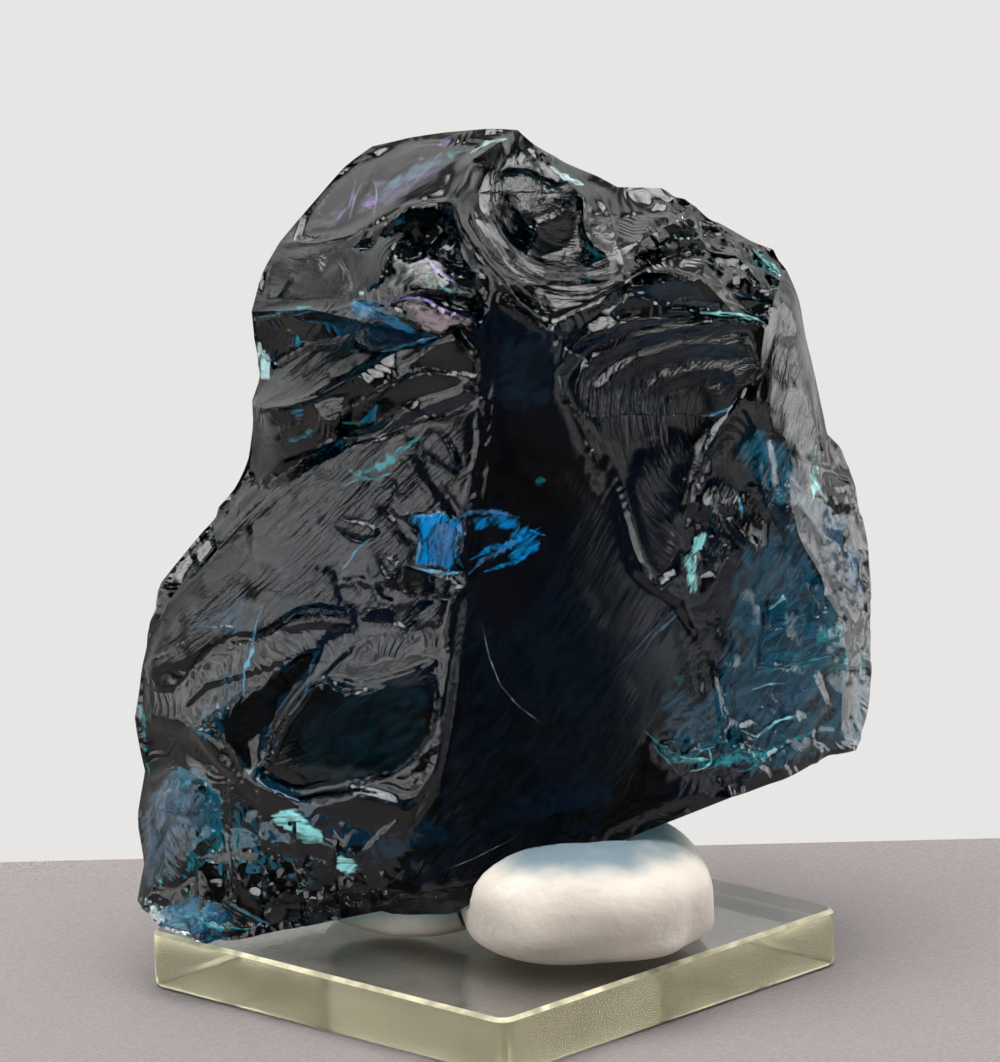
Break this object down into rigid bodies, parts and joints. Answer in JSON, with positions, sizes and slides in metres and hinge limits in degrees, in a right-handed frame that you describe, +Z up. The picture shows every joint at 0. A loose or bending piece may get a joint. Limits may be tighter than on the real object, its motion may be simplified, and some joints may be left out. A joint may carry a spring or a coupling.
{
  "type": "slag glass chunk on a display stand",
  "caption": "A broken chunk of dark blue slag glass with shell-shaped fractures, held upright by putty on a square clear acrylic slab, for display on a shelf or desk.",
  "frame": {"origin": "The middle of the bounding box, on the ground under the acrylic slab.", "axes": "+Z is up. The show face looks towards -Y, so +X is to the viewer's right. The slab is turned 46.3 degrees about +Z."},
  "size_m": [0.0772, 0.075, 0.085],
  "materials": {
    "slag_glass": "polished fresh fracture, near black where thick, blue to teal where thin",
    "clear_acrylic": "clear cast acrylic, slightly yellowed, fine scratches",
    "display_putty": "matt off-white museum putty, pressed by hand"
  },
  "bodies": {
    "root": {"glass_chunk": "slag_glass", "acrylic_base": "clear_acrylic", "putty_front": "display_putty", "putty_back": "display_putty"}
  },
  "joints": []
}
